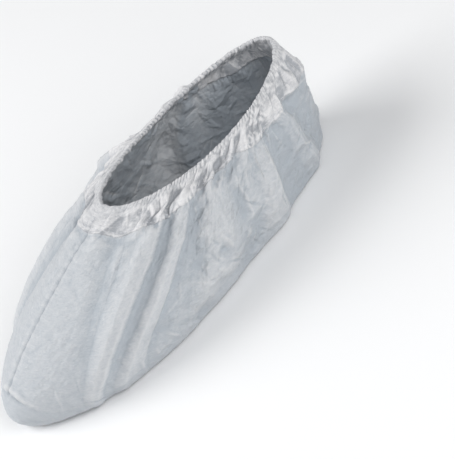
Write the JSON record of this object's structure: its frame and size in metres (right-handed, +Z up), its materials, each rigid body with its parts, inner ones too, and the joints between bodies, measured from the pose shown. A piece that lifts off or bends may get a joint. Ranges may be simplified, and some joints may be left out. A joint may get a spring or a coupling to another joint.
{
  "type": "disposable shoe cover",
  "caption": "Slip-on cover of thin pale nonwoven cloth with an elastic gathered opening, worn over a shoe to keep floors clean.",
  "frame": {"origin": "on the floor, under the middle of the cover's length and width", "axes": "+X to the toe, +Y to the wearer's left, +Z up"},
  "size_m": [0.3156, 0.1251, 0.093],
  "materials": {
    "panel_cloth": "matte nonwoven",
    "sole_cloth": "matte nonwoven",
    "hem_cloth": "matte nonwoven, two layers",
    "elastic_band": "matte"
  },
  "bodies": {
    "root": {"left_panel": "panel_cloth", "right_panel": "panel_cloth", "sole": "sole_cloth", "hem": "hem_cloth", "elastic": "elastic_band"}
  },
  "joints": []
}
